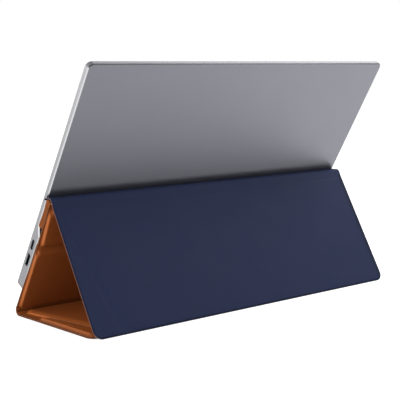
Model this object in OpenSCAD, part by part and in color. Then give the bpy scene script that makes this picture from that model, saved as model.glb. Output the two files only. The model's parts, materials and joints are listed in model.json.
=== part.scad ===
// Portable monitor standing on its folded cover.
//
// The cover is a flat sheet with stiff boards in it, folded into a three-sided prism.  The
// monitor is held against the sloping front wall of the prism.  Three frames, one for each
// wall of the prism, carry every piece of the cover:
//   x  across the width,
//   y  from the outer face of the sheet (0) towards the lining,
//   z  along the wall, away from a fold line.
// The monitor has its own frame: x across, y from the screen to the back, z up the screen.
// The origin of the model is on the ground, halfway between the front fold and the rear foot.

/* [Monitor] */
// Width of the monitor
monitor_w = 312; // [280:0.1:380]
// Height of the monitor, measured up the screen
monitor_h = 199; // [180:0.1:240]
// Thickness of the deep lower part
base_t = 9; // [8.8:0.1:12]
// Thickness of the thin upper part
top_t = 4.5; // [4.3:0.1:6]
// Height of the deep lower part
base_h = 53; // [52:0.5:60]
// Height of the slope between the two thicknesses
slope_h = 8.5; // [6:0.5:14]
// Corner radius at the bottom of the monitor
low_corner_r = 4; // [3:0.5:14]
// Corner radius at the top of the monitor
top_corner_r = 4.5; // [3:0.5:14]
// Bright chamfer round the back edge
chamfer = 0.8; // [0.2:0.1:0.9]
// Chamfer round the front edge
front_chamfer = 0.5; // [0.2:0.1:0.8]
// Back wall of the aluminium housing
back_wall = 0.9; // [0.7:0.1:1.1]
// Side wall of the aluminium housing
side_wall = 1.2; // [1:0.1:1.6]

/* [Screen] */
// Width of the bezel beside the picture
side_bezel = 7.7; // [6:0.1:12]
// Height of the bezel above the picture
top_bezel = 9.3; // [8:0.1:14]
// Height of the bezel below the picture
chin_h = 22; // [18:0.5:24]
// Thickness of the front bezel
bezel_t = 0.8; // [0.5:0.1:1]
// Thickness of the screen glass
glass_t = 0.6; // [0.4:0.1:0.8]
// Thickness of the display panel
panel_t = 0.9; // [0.7:0.1:1.1]
// Thickness of the plate behind the panel
plate_t = 0.4; // [0.3:0.1:0.6]
// Width of the foam tape that holds the panel
tape_w = 4; // [3:0.5:8]

/* [Ports] */
// Height of the USB-C ports above the bottom edge
usb_h = 42.7; // [40:0.1:44]
// Height of the mini HDMI port above the bottom edge
hdmi_h = 28.1; // [25:0.1:30]
// Depth of the ports behind the screen face
port_y = 4.6; // [4.5:0.1:5]
// Opening of a port around its receptacle
port_gap = 0.15; // [0.1:0.05:0.3]

/* [Buttons] */
// Height of the power button above the bottom edge
power_h = 27; // [24:0.5:30]
// Height of the menu button above the bottom edge
menu_h = 14; // [10:0.5:16]
// Length of a button
button_len = 7; // [5:0.1:8]
// Width of a button
button_t = 2.4; // [1.8:0.1:2.6]
// How far a button stands out of the side
button_proud = 0.5; // [0.4:0.05:0.8]
// Travel of a button
button_travel = 0.35; // [0.2:0.05:0.4]

/* [Boards] */
// Thickness of a circuit board
pcb_t = 0.8; // [0.6:0.1:1]
// Height of the circuit boards
pcb_h = 43; // [40:0.5:45]
// Width of the main board
main_pcb_w = 140; // [120:1:150]
// Width of the side board
side_pcb_w = 36; // [30:1:60]

/* [Cover] */
// How far the cover is wider than the monitor on each side
cover_side = 1.1; // [0.5:0.1:4]
// Length of the front wall, from fold line to fold line
wall_len = 112.3; // [104:0.1:130]
// Length of the floor panel, from the front fold line to the rear foot
floor_len = 112.1; // [100:0.1:130]
// Length of the rear panel, from the top fold line to the rear foot
rear_len = 110.9; // [100:0.1:130]
// Thickness of the outer skin
skin_t = 0.9; // [0.6:0.1:1.2]
// Thickness of the lining
lining_t = 0.7; // [0.5:0.1:1]
// Thickness of the stiff boards
board_t = 2.2; // [1.5:0.1:3]
// Outer radius of the front fold
front_fold_r = 4; // [3:0.1:5]
// Outer radius of the top fold
top_fold_r = 2.6; // [2.2:0.1:3.2]
// Depth of the flat spine below the line where the outer faces of the walls would meet
spine_drop = 0.3; // [0:0.1:1]
// Flat rim around the padded boards
rim = 1; // [0.6:0.1:2.5]
// Rounding of the padded edges
pad_r = 2.1; // [1.6:0.1:2.2]
// Corner radius of the free ends of the cover
free_corner_r = 7; // [4:0.5:15]
// Position of the cross crease in the front wall, up from the front fold line
crease_z = 66; // [58:0.5:68]
// Width of the creases between the boards
crease_w = 4; // [2:0.5:6]
// End of the upper board, short of the top fold line
top_margin = 11; // [9.5:0.5:16]
// Start of the rear board, below the top fold line
rear_margin = 9; // [8:0.5:14]
// Distance of the slanting creases from the side, at the fold
slant_start = 2; // [1.5:0.1:6]
// Distance of the floor panel's slanting crease from the side, at its rear
floor_slant = 17.7; // [14:0.5:30]
// Distance of the rear panel's slanting crease from the side, at its foot
rear_slant = 26; // [16:0.5:40]

/* [Mounting] */
// Bottom edge of the monitor, up from the front fold line
monitor_lift = 21.5; // [20:0.5:28]
// How far the monitor sits towards the side with the HDMI port
monitor_shift = -1; // [-2:0.1:2]
// Thickness of the pad behind the deep part
low_pad_t = 1.6; // [1.2:0.1:3]
// Height of the pad behind the deep part
low_pad_h = 42; // [30:0.5:46]
// Start of the pad behind the thin part, above the slope
high_pad_gap = 2.3; // [1:0.1:5]
// Inset of the pads from the side of the cover
pad_inset = 1.5; // [1:0.1:4]
// Number of magnets in the pad
magnet_count = 6; // [2:1:8]

/* [Hidden] */

$fn = 48;
EPS = 0.01;
CUT = 1;               // how far a cutting solid runs past what it cuts
HULL_FN = 24;          // facets of the rounded board edges
SEAT = 0.05;           // play between pieces that are fitted into each other

// Triangle of the prism: its angles follow from the lengths of its three walls
front_angle = acos((pow(wall_len, 2) + pow(floor_len, 2) - pow(rear_len, 2))
    / (2 * wall_len * floor_len));
top_angle = acos((pow(wall_len, 2) + pow(rear_len, 2) - pow(floor_len, 2))
    / (2 * wall_len * rear_len));
lean = 90 - front_angle;
rear_lean = top_angle - lean;
front_y = -floor_len / 2;
apex = [0, front_y + wall_len * sin(lean), wall_len * cos(lean)];

// Layers of the cover
cover_w = monitor_w + 2 * cover_side;
rim_t = skin_t + lining_t;
cover_t = skin_t + board_t + lining_t;
front_gap = 0.15;
top_gap = 0.35;
crease_gap = 0.3;
closure_gap = 0.3;

// Front fold: its axis lies as far along the floor as it does along the wall
front_axis_z = front_fold_r / tan(front_angle / 2);
front_clear_r = front_fold_r + front_gap;
front_wrap = acos((front_fold_r - rim_t) / front_clear_r);
floor_board_gap = 1.85;

// Top fold: its axis along the rear panel, and in y and z of the front wall
top_axis_z = (top_fold_r * (1 - sin(rear_lean)) + spine_drop) / cos(rear_lean);
top_axis = [top_axis_z * sin(top_angle) - top_fold_r * cos(top_angle),
    wall_len - top_axis_z * cos(top_angle) - top_fold_r * sin(top_angle)];
top_clear_r = top_fold_r + top_gap;
top_wrap = 75;         // angle through which the fold runs on inside the rear panel

// Ends of the walls
wall_top = top_axis.y - top_fold_r / 2;
floor_end = floor_len - (cover_t + closure_gap) / cos(rear_lean) - rim_t * tan(rear_lean);
rear_end = rear_len - rim_t * tan(rear_lean);
high_board_end = wall_len - top_margin;

// Boards start clear of the turning folds
wall_board_start = front_axis_z + front_clear_r + SEAT - pad_r;
floor_board_start = front_axis_z + floor_board_gap;
rear_board_start = rear_margin;
side_x = cover_w / 2;
board_x = side_x - rim;
groove = crease_w / 2;

// Slanting creases: distance from the middle of the cover at a distance z from the fold
function slant_x(z, length, drop) = side_x - slant_start - (drop - slant_start) * z / length;
function floor_crease(z) = slant_x(z, floor_len, floor_slant);
function rear_crease(z) = slant_x(z, rear_len, rear_slant);

// Monitor in the wall's frame
high_pad_t = low_pad_t + base_t - top_t;
glass_y = bezel_t;
panel_y = glass_y + glass_t;
plate_y = panel_y + panel_t;
cavity_y = plate_y + plate_t;
thin_floor_y = top_t - back_wall;
deep_floor_y = base_t - back_wall;
inner_w = monitor_w - 2 * side_wall;
inner_h = monitor_h - 2 * side_wall;
view_w = monitor_w - 2 * side_bezel;
view_h = monitor_h - chin_h - top_bezel;
glass_lap = 2;         // how far the glass reaches behind the bezel
panel_lap = 3;
panel_side = 2.5;
glass_w = view_w + 2 * glass_lap;
glass_h = view_h + 2 * glass_lap;
panel_w = view_w + 2 * panel_side;
panel_h = view_h + 2 * panel_lap + 1;
tape_start = base_h + slope_h + 1;
slope_angle = atan((base_t - top_t) / slope_h);

// USB-C and mini HDMI receptacles
usb_w = 8.94;
usb_t = 3.16;
usb_depth = 7.3;
usb_wall = 0.3;
usb_tongue = [5.5, 6.7, 0.7];
hdmi_w = 11.2;
hdmi_t = 3.2;
hdmi_depth = 7.5;
hdmi_wall = 0.3;
hdmi_taper = 1.2;
hdmi_tongue = [4.6, 8.2, 0.6];
mouth_inset = 0.3;
port_back = 1.2;       // closed back of a receptacle

// Circuit boards
pcb_y = port_y + usb_t / 2;
hdmi_y = pcb_y - hdmi_t / 2;
pcb_z = 6;
pcb_edge = monitor_w / 2 - side_wall - 0.8;
screw_r = 0.8;
screw_head_r = 1.4;
screw_head_t = 0.6;
screw_bite = 0.3;
boss_r = 2;
screw_in = 4;          // screws in from the edge of the board
low_screw_z = pcb_z + screw_in;
high_screw_z = pcb_z + pcb_h - screw_in;
main_end = pcb_edge - main_pcb_w;
side_end = side_pcb_w - pcb_edge;
screw_spots = [
    [main_end + screw_in, low_screw_z], [main_end + screw_in, high_screw_z],
    [pcb_edge - 2 * screw_in, low_screw_z], [pcb_edge - 3 * screw_in, high_screw_z],
    [side_end - screw_in, low_screw_z], [side_end - screw_in, high_screw_z]];

// Buttons
flange_t = 0.6;
flange_lip = 0.6;
button_y = pcb_y - button_t / 2 - flange_lip - port_gap;
plunger_r = 0.6;
plunger_l = 0.5;
switch_size = [3, 4.6, 1.6];

// Magnets and steel
magnet_size = [24, 3, 12];
keeper_t = 0.4;
bar_size = [30, 6];
bar_margin = 1.5;
bar_count = 6;
least_board_w = 0.6;

// ---------------------------------------------------------------- frames

module on_floor() translate([0, front_y, 0]) rotate([-90, 0, 0]) mirror([0, 1, 0]) children();

module on_wall() translate([0, front_y, 0]) rotate([-lean, 0, 0]) children();

module on_rear() translate(apex) rotate([180 + rear_lean, 0, 0]) children();

module in_monitor() on_wall()
    translate([monitor_shift, -low_pad_t - base_t, monitor_lift]) children();

// ---------------------------------------------------------------- shapes

// A 2-D outline in x and z, made t thick along y from y = 0
module plate(t) translate([0, t, 0]) rotate([90, 0, 0]) linear_extrude(t) children();

// A profile in y and z, made w wide and centred on x = 0
module bar(w) translate([-w / 2, 0, 0]) rotate([90, 0, 90]) linear_extrude(w) children();

// A tall rectangle standing on y = 0, with its own radii at the bottom and at the top
module tall_outline(w, h, low_r, high_r) {
    for (s = [-1, 1]) {
        translate([s * (w / 2 - low_r), low_r]) circle(low_r);
        translate([s * (w / 2 - high_r), h - high_r]) circle(high_r);
    }
    translate([-w / 2, low_r]) square([w, h - low_r - high_r]);
    translate([low_r - w / 2, 0]) square([w - 2 * low_r, low_r + EPS]);
    translate([high_r - w / 2, h - high_r - EPS]) square([w - 2 * high_r, high_r + EPS]);
}

// The same outline as a layer of thickness c with edges that slope in by c
module chamfer_layer(w, h, low_r, high_r, c) {
    for (s = [-1, 1]) {
        translate([s * (w / 2 - low_r), 0, low_r])
            rotate([-90, 0, 0]) cylinder(r1 = low_r, r2 = low_r - c, h = c);
        translate([s * (w / 2 - high_r), 0, h - high_r])
            rotate([-90, 0, 0]) cylinder(r1 = high_r, r2 = high_r - c, h = c);
    }
    bar(w - 2 * low_r) polygon([[0, 0], [c, c], [c, h / 2], [0, h / 2]]);
    bar(w - 2 * high_r) polygon([[0, h / 2], [c, h / 2], [c, h - c], [0, h]]);
    translate([0, 0, low_r]) linear_extrude(h - low_r - high_r)
        polygon([[-w / 2, 0], [w / 2, 0], [w / 2 - c, c], [c - w / 2, c]]);
}

// The monitor's outline as a plate with a chamfer round each face
module monitor_plate(t) {
    size = [monitor_w, monitor_h, low_corner_r, top_corner_r];
    translate([0, front_chamfer, 0]) {
        mirror([0, 1, 0])
            chamfer_layer(size[0], size[1], size[2], size[3], front_chamfer);
        plate(t - front_chamfer - chamfer) tall_outline(size[0], size[1], size[2], size[3]);
    }
    translate([0, t - chamfer, 0]) chamfer_layer(size[0], size[1], size[2], size[3], chamfer);
}

// Polygon moved inwards by d on every side; the points run anticlockwise and it is convex
function unit(v) = v / norm(v);
function left(v) = [-v.y, v.x];
function turn(a, b) = a.x * b.y - a.y * b.x;
function meet(p, u, q, v) = p + u * turn(q - p, v) / turn(u, v);
function inset(points, d) = [for (i = [0 : len(points) - 1]) let (
    a = points[(i + len(points) - 1) % len(points)],
    b = points[i],
    c = points[(i + 1) % len(points)],
    u = unit(b - a),
    v = unit(c - b)) meet(b + left(u) * d, u, b + left(v) * d, v)];

// Rectangle between two corners
function box(x0, z0, x1, z1) = [[x0, z0], [x1, z0], [x1, z1], [x0, z1]];

// Flat layer with the given outline, from depth y
module layer(points, y, t) translate([0, y, 0]) plate(t) polygon(points);

// Padded board under the lining: flat on top, with its edges rounded over
module dome(r, t, round_r) {
    edge = min(round_r, t - EPS);
    rotate([-90, 0, 0]) rotate_extrude($fn = HULL_FN) polygon(concat([[0, 0], [r, 0]],
        [for (a = [0 : 22.5 : 90]) [r - edge + edge * cos(a), t - edge + edge * sin(a)]],
        [[0, t]]));
}

module padded(points, t) translate([0, skin_t, 0]) hull()
    for (p = inset(points, pad_r + EPS)) translate([p.x, 0, p.y]) dome(pad_r + EPS, t, pad_r);

// The board itself lies inside the padded shape
function board_points(points) = inset(points, pad_r);

// Flat corner rounding at the free end of a panel
module free_corners(points, radii) difference() {
    polygon(points);
    for (i = [0 : len(points) - 1]) if (radii[i] > 0) corner_cut(points, i, radii[i]);
}

module corner_cut(points, i, r) {
    b = points[i];
    u = unit(points[(i + len(points) - 1) % len(points)] - b);
    v = unit(points[(i + 1) % len(points)] - b);
    half = acos(u * v) / 2;
    centre = b + unit(u + v) * r / sin(half);
    difference() {
        polygon([b - (u + v) * EPS, b + u * r / tan(half), centre, b + v * r / tan(half)]);
        translate(centre) circle(r, $fn = 64);
    }
}

// Clearance of radius r round a fold axis
module fold_clearance(y, z, r) translate([0, y, z])
    rotate([0, 90, 0]) cylinder(r = r, h = cover_w + 2 * CUT, center = true);

// Curved strip of cover with outer radius r, from angle start through angle extent.
// Angle 0 points along y and 90 along z.
module fold_strip(r, start, extent) rotate([90, 0, 90]) rotate([0, 0, start])
    translate([0, 0, -cover_w / 2]) rotate_extrude(angle = extent, $fn = 96)
        translate([r - rim_t, 0]) square([rim_t, cover_w]);

// ---------------------------------------------------------------- monitor housing

module housing_body() {
    monitor_plate(top_t);
    difference() {
        intersection() {
            monitor_plate(base_t);
            bar(monitor_w + 2 * CUT) polygon([[0, -CUT], [base_t + CUT, -CUT],
                [base_t + CUT, base_h - CUT / tan(slope_angle)],
                [base_t, base_h], [top_t - EPS, base_h + slope_h + EPS / tan(slope_angle)],
                [0, base_h + slope_h]]);
        }
        // The chamfer goes on along the two sides of the slope
        side = chamfer * sqrt(2);
        for (s = [-1, 1]) translate([s * monitor_w / 2, base_t, base_h])
            rotate([slope_angle, 0, 0]) translate([0, 0, -CUT]) rotate([0, 0, 45])
                translate([-side / 2, -side / 2, 0])
                    cube([side, side, slope_h / cos(slope_angle) + 2 * CUT]);
    }
}

module housing_cavity() {
    low_r = low_corner_r - side_wall;
    high_r = top_corner_r - side_wall;
    translate([0, 0, side_wall]) {
        translate([0, -CUT, 0]) plate(thin_floor_y + CUT)
            tall_outline(inner_w, inner_h, low_r, high_r);
        intersection() {
            plate(deep_floor_y) tall_outline(inner_w, inner_h, low_r, high_r);
            translate([0, 0, -side_wall]) bar(inner_w + 2 * CUT)
                polygon([[0, 0], [deep_floor_y, 0], [deep_floor_y, base_h - back_wall / 2],
                    [thin_floor_y, base_h + slope_h - back_wall / 2],
                    [0, base_h + slope_h - back_wall / 2]]);
        }
    }
}

// Port shapes lie in y (depth) and z (height), and run inwards from x = 0
module usb_shape(grow, depth) {
    for (s = [-1, 1]) translate([0, 0, s * (usb_w - usb_t) / 2])
        rotate([0, 90, 0]) cylinder(r = usb_t / 2 + grow, h = depth);
    translate([0, -usb_t / 2 - grow, (usb_t - usb_w) / 2])
        cube([depth, usb_t + 2 * grow, usb_w - usb_t]);
}

module hdmi_shape(grow, depth) {
    z = hdmi_w / 2 + grow;
    y = hdmi_t / 2 + grow;
    rotate([90, 0, 90]) linear_extrude(depth)
        polygon([[-y, -z], [0.2, -z], [y, hdmi_taper - z], [y, z - hdmi_taper], [0.2, z], [-y, z]]);
}

module button_shape(grow, depth) {
    for (s = [-1, 1]) translate([0, 0, s * (button_len - button_t) / 2])
        rotate([0, 90, 0]) cylinder(r = button_t / 2 + grow, h = depth);
    translate([0, -button_t / 2 - grow, (button_t - button_len) / 2])
        cube([depth, button_t + 2 * grow, button_len - button_t]);
}

module rear_housing() color("silver") in_monitor() {
    wall_x = monitor_w / 2 - side_wall - CUT;
    cut_depth = side_wall + 2 * CUT;
    difference() {
        housing_body();
        housing_cavity();
        translate([wall_x, port_y, usb_h]) usb_shape(port_gap, cut_depth);
        translate([wall_x, hdmi_y, hdmi_h]) hdmi_shape(port_gap, cut_depth);
        translate([-wall_x - cut_depth, port_y, usb_h]) usb_shape(port_gap, cut_depth);
        for (z = [power_h, menu_h])
            translate([-wall_x - cut_depth, button_y, z]) button_shape(port_gap, cut_depth);
        board_bosses(screw_r + SEAT, pcb_y, deep_floor_y + screw_bite + SEAT);
    }
    difference() {
        board_bosses(boss_r, pcb_y + pcb_t, deep_floor_y + EPS);
        board_bosses(screw_r + SEAT, pcb_y, deep_floor_y + screw_bite + SEAT);
    }
}

module board_bosses(r, y0, y1) for (p = screw_spots)
    translate([p.x, y0, p.y]) rotate([-90, 0, 0]) cylinder(r = r, h = y1 - y0);

// ---------------------------------------------------------------- screen

module front_bezel() color("black") in_monitor() difference() {
    translate([0, 0, side_wall + SEAT]) plate(bezel_t)
        tall_outline(inner_w - 2 * SEAT, inner_h - 2 * SEAT,
            low_corner_r - side_wall, top_corner_r - side_wall);
    translate([0, -CUT, chin_h]) plate(bezel_t + 2 * CUT) tall_outline(view_w, view_h, 1, 1);
}

module screen_glass() color([0.05, 0.05, 0.06]) in_monitor()
    translate([0, glass_y, chin_h - glass_lap]) plate(glass_t)
        tall_outline(glass_w, glass_h, 2, 2);

module display_panel() color([0.15, 0.15, 0.18]) in_monitor()
    translate([0, panel_y, chin_h - panel_lap]) plate(panel_t)
        tall_outline(panel_w, panel_h, 1, 1);

module panel_backplate() color("gray") in_monitor()
    translate([0, plate_y, chin_h - panel_lap]) plate(plate_t)
        tall_outline(panel_w, panel_h, 1, 1);

// Foam frame between the panel and the thin part of the housing
module panel_tape() color("dimgray") in_monitor() {
    w = glass_w;
    h = chin_h + view_h + panel_lap - tape_start;
    difference() {
        translate([0, cavity_y, tape_start]) plate(thin_floor_y - cavity_y) difference() {
            translate([-w / 2, 0]) square([w, h]);
            translate([tape_w - w / 2, tape_w]) square([w - 2 * tape_w, h - 2 * tape_w]);
        }
        keeper_block(SEAT);
    }
}

// ---------------------------------------------------------------- electronics

module pcb(x0, w) difference() {
    translate([x0, pcb_y, pcb_z]) cube([w, pcb_t, pcb_h]);
    board_bosses(screw_r + SEAT, pcb_y - CUT, pcb_y + pcb_t + CUT);
}

module main_board() color("darkgreen") in_monitor() pcb(pcb_edge - main_pcb_w, main_pcb_w);

module side_board() color("darkgreen") in_monitor() pcb(-pcb_edge, side_pcb_w);

// Chips: distance in from the edge of the board, height, and side length
chip_spots = [[52, 26, 15], [74, 26, 11]];
chip_t = 1;

module main_chips() color([0.1, 0.1, 0.1]) in_monitor() for (c = chip_spots)
    translate([pcb_edge - c.x - c.z / 2, pcb_y - chip_t, c.y - c.z / 2])
        cube([c.z, chip_t, c.z]);

// Pressed steel can over the chips, open towards the board
shield_size = [52, 1.8, 24];
shield_wall = 0.2;
shield_spot = [88, 14];

module shield_can() color("lightgray") in_monitor()
    translate([pcb_edge - shield_spot.x, pcb_y - shield_size.y, shield_spot.y]) difference() {
        cube(shield_size);
        translate([shield_wall, shield_wall, shield_wall])
            cube([shield_size.x - 2 * shield_wall, shield_size.y, shield_size.z - 2 * shield_wall]);
    }

// Soft pad that carries heat from the board to the housing
heat_pad_size = [56, 28];
heat_pad_spot = [90, 12];

module heat_pad() color("lightblue") in_monitor()
    translate([pcb_edge - heat_pad_spot.x, pcb_y + pcb_t, heat_pad_spot.y])
        cube([heat_pad_size.x, deep_floor_y - pcb_y - pcb_t, heat_pad_size.y]);

module board_screws() color("silver") in_monitor() {
    board_bosses(screw_head_r, pcb_y - screw_head_t, pcb_y);
    board_bosses(screw_r, pcb_y - EPS, deep_floor_y + screw_bite);
}

// Flat cable between the two circuit boards
ribbon_t = 0.2;
ribbon_w = 10;
ribbon_lap = 6;
ribbon_z = 20;

module board_ribbon() color("white") in_monitor()
    translate([side_end - ribbon_lap, pcb_y - ribbon_t, ribbon_z])
        cube([main_end - side_end + 2 * ribbon_lap, ribbon_t, ribbon_w]);

// Flat cable that comes off the back of the panel and bends over to the main board
panel_ribbon_w = 26;
panel_ribbon_in = 112;
panel_ribbon_x = pcb_edge - panel_ribbon_in;
ribbon_flat = 8;
ribbon_slope = 10;
ribbon_top = high_screw_z + 1;
ribbon_bend = ribbon_top - ribbon_flat;
ribbon_rise = ribbon_bend - ribbon_slope;
ribbon_foot = low_screw_z + ribbon_flat;

module panel_ribbon() color("orange") in_monitor() translate([panel_ribbon_x, 0, 0])
    bar(panel_ribbon_w) polygon([
        [cavity_y, ribbon_top], [cavity_y, ribbon_bend], [pcb_y - 2 * ribbon_t, ribbon_rise],
        [pcb_y - ribbon_t, ribbon_foot], [pcb_y, ribbon_foot], [pcb_y, ribbon_rise + 1],
        [cavity_y + ribbon_t, ribbon_bend + 1], [cavity_y + ribbon_t, ribbon_top]]);

module usb_receptacle() {
    difference() {
        usb_shape(0, usb_depth);
        translate([port_back, 0, 0]) usb_shape(-usb_wall, usb_depth);
    }
    translate([port_back - EPS, -usb_tongue.z / 2, -usb_tongue.y / 2])
        cube([usb_tongue.x, usb_tongue.z, usb_tongue.y]);
}

module at_right_side(z) translate([monitor_w / 2 - mouth_inset - usb_depth, port_y, z])
    children();

module at_left_side(z) mirror([1, 0, 0]) at_right_side(z) children();

module usb_c_port_right() color("slategray") in_monitor() at_right_side(usb_h) usb_receptacle();

module usb_c_port_left() color("slategray") in_monitor() at_left_side(usb_h) usb_receptacle();

module mini_hdmi_port() color("slategray") in_monitor()
    translate([monitor_w / 2 - mouth_inset - hdmi_depth, hdmi_y, hdmi_h]) {
        difference() {
            hdmi_shape(0, hdmi_depth);
            translate([port_back, 0, 0]) hdmi_shape(-hdmi_wall, hdmi_depth);
        }
        translate([port_back - EPS, -hdmi_tongue.z, -hdmi_tongue.y / 2])
            cube([hdmi_tongue.x, hdmi_tongue.z, hdmi_tongue.y]);
    }

module button_switches() color("dimgray") in_monitor() for (z = [power_h, menu_h]) {
    switch_x = -monitor_w / 2 + side_wall + SEAT + flange_t + button_travel + SEAT;
    translate([switch_x + plunger_l - EPS, pcb_y - switch_size.z, z - switch_size.y / 2])
        cube([switch_size.x, switch_size.z, switch_size.y]);
    translate([switch_x, pcb_y - switch_size.z / 2, z])
        rotate([0, 90, 0]) cylinder(r = plunger_r, h = plunger_l);
}

// Steel strip that the magnets of the cover hold on to
module keeper_block(grow) translate([-keeper_w / 2 - grow, thin_floor_y - keeper_t - grow,
        keeper_z - monitor_lift - grow])
    cube([keeper_w + 2 * grow, keeper_t + 2 * grow, magnet_size.z + 2 * (keeper_lap + grow)]);

module steel_keeper() color("gray") in_monitor() keeper_block(0);

// A button cap with the flange that keeps it in, pressed inwards along x
module button(z) in_monitor() translate([-monitor_w / 2, button_y, z]) {
    translate([-button_proud, 0, 0])
        button_shape(0, button_proud + side_wall + SEAT + flange_t);
    translate([side_wall + SEAT, 0, 0]) button_shape(flange_lip, flange_t);
}

module power_button() color("silver") button(power_h);

module menu_button() color("silver") button(menu_h);

// ---------------------------------------------------------------- spine over the pads

// Points in y and z of the front wall.  The spine lies level, so up and forward are slanted here.
up = [-sin(lean), cos(lean)];
forward = [-cos(lean), -sin(lean)];
function run_forward(p, y) = p + forward * (p.x - y) / cos(lean);

spine_y = SEAT - high_pad_t;
spine_outer = top_axis + up * top_fold_r;
spine_inner = spine_outer - up * rim_t;
pad_crown = spine_inner - up * SEAT;
pad_tip = run_forward(pad_crown, -high_pad_t);

// The fold comes up inside the rear panel and lies flat on the pad, up to the monitor's back
module top_fold() color("midnightblue") on_wall() {
    translate([0, top_axis.x, top_axis.y])
        fold_strip(top_fold_r, top_angle - top_wrap, 90 + lean - top_angle + top_wrap);
    bar(cover_w) polygon([spine_outer, run_forward(spine_outer, spine_y),
        run_forward(spine_inner, spine_y), spine_inner]);
}

// ---------------------------------------------------------------- pads behind the monitor

low_pad_z = monitor_lift + 4.5;
low_pad_in = 3.2;
low_pad_w = monitor_w - 2 * low_pad_in;
high_pad_z = monitor_lift + base_h + slope_h + high_pad_gap;
keeper_lap = 1;
magnet_z = (high_pad_z + pad_tip.y - magnet_size.z) / 2;
keeper_z = magnet_z - keeper_lap;
keeper_w = monitor_w - 28;
pad_corner_r = 2;
pad_w = cover_w - 2 * pad_inset;
magnet_cover = 0.6;

module low_pad() color("saddlebrown") on_wall() translate([0, -low_pad_t, low_pad_z])
    plate(low_pad_t) tall_outline(low_pad_w, low_pad_h, 4, 4);

module magnet_blocks() for (i = [0 : magnet_count - 1]) {
    pitch = pad_w / magnet_count;
    x = (i + 0.5) * pitch - pad_w / 2;
    translate([x - magnet_size.x / 2, magnet_cover - high_pad_t, magnet_z]) cube(magnet_size);
}

module high_pad() color("peru") on_wall() difference() {
    intersection() {
        translate([0, -high_pad_t, high_pad_z])
            plate(high_pad_t) tall_outline(pad_w, wall_len - high_pad_z, pad_corner_r, SEAT);
        bar(cover_w) polygon([[-high_pad_t, high_pad_z], [0, high_pad_z], [0, wall_top],
            pad_crown, pad_tip]);
    }
    magnet_blocks();
}

module pad_magnets() color("lightslategray") on_wall() magnet_blocks();

// ---------------------------------------------------------------- front wall of the cover

low_board = box(-board_x, wall_board_start, board_x, crease_z - groove);
high_board = box(-board_x, crease_z + groove, board_x, high_board_end);

module front_clearance() fold_clearance(front_fold_r, front_axis_z, front_clear_r);

module wall_outer_skin() color("midnightblue") on_wall() difference() {
    layer(box(-side_x, front_axis_z, side_x, wall_top), 0, skin_t);
    front_clearance();
}

module wall_low_board() color("tan") on_wall()
    layer(board_points(low_board), skin_t, board_t);

module wall_high_board() color("tan") on_wall()
    layer(board_points(high_board), skin_t, board_t);

module wall_lining() color("sienna") on_wall() difference() {
    union() {
        layer(box(-side_x, front_axis_z, side_x, wall_top), skin_t, lining_t);
        padded(low_board, board_t + lining_t);
        padded(high_board, board_t + lining_t);
    }
    front_clearance();
    for (b = [low_board, high_board]) layer(board_points(b), skin_t, board_t);
}

// ---------------------------------------------------------------- floor panel of the cover

floor_outline = box(-side_x, front_axis_z, side_x, floor_end);
floor_main = [[-board_x, floor_board_start],
    [floor_crease(floor_board_start) - groove, floor_board_start],
    [floor_crease(floor_end - rim) - groove, floor_end - rim], [-board_x, floor_end - rim]];

// The corner board starts where the space beside the crease is wide enough for it
corner_tip_w = 2 * pad_r + least_board_w;
function tip_z(length, drop) = length * (corner_tip_w + rim + groove - slant_start)
    / (drop - slant_start);
floor_tip = tip_z(floor_len, floor_slant);
floor_corner = [[floor_crease(floor_tip) + groove, floor_tip], [board_x, floor_tip],
    [board_x, floor_end - rim], [floor_crease(floor_end - rim) + groove, floor_end - rim]];

// Bars spread over the width that the boards of both panels have in common
bars_end = min(floor_crease(floor_len), rear_crease(rear_len)) - groove - pad_r;
bar_pitch = 2 * bars_end / bar_count;

module closure_bars(z) for (i = [0 : bar_count - 1])
    translate([(i + 0.5) * bar_pitch - bars_end - bar_size.x / 2, skin_t, z - bar_size.y / 2])
        cube([bar_size.x, board_t, bar_size.y]);

floor_bar_z = floor_end - rim - pad_r - bar_size.y / 2 - bar_margin;
rear_bar_z = rear_end - rim - pad_r - bar_size.y / 2 - bar_margin;

module floor_outer_skin() color("midnightblue") on_floor()
    plate(skin_t) free_corners(floor_outline, [0, 0, free_corner_r, free_corner_r]);

module floor_board() color("tan") on_floor() difference() {
    layer(board_points(floor_main), skin_t, board_t);
    closure_bars(floor_bar_z);
}

module floor_corner_board() color("tan") on_floor()
    layer(board_points(floor_corner), skin_t, board_t);

module floor_lining() color("sienna") on_floor() difference() {
    union() {
        translate([0, skin_t, 0]) plate(lining_t)
            free_corners(floor_outline, [0, 0, free_corner_r, free_corner_r]);
        padded(floor_main, board_t + lining_t);
        padded(floor_corner, board_t + lining_t);
    }
    for (b = [floor_main, floor_corner]) layer(board_points(b), skin_t, board_t);
}

module floor_steel_bars() color("gray") on_floor() closure_bars(floor_bar_z);

// The fold runs on inside the front wall, so that no gap opens when the wall turns
module front_fold() color("midnightblue") on_floor()
    translate([0, front_fold_r, front_axis_z])
        fold_strip(front_fold_r, 180, 180 - front_angle + front_wrap);

// ---------------------------------------------------------------- rear panel of the cover

half_gap = crease_gap / 2;
rear_outline = [[-side_x, top_axis_z], [rear_crease(top_axis_z) - half_gap, top_axis_z],
    [rear_crease(rear_end) - half_gap, rear_end], [-side_x, rear_end]];
rear_main = [[-board_x, rear_board_start],
    [rear_crease(rear_board_start) - groove, rear_board_start],
    [rear_crease(rear_end - rim) - groove, rear_end - rim], [-board_x, rear_end - rim]];

module top_clearance() fold_clearance(top_fold_r, top_axis_z, top_clear_r);

module rear_outer_skin() color("midnightblue") on_rear() difference() {
    plate(skin_t) free_corners(rear_outline, [0, 0, 0, free_corner_r]);
    top_clearance();
}

module rear_board() color("tan") on_rear() difference() {
    layer(board_points(rear_main), skin_t, board_t);
    closure_bars(rear_bar_z);
}

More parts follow.
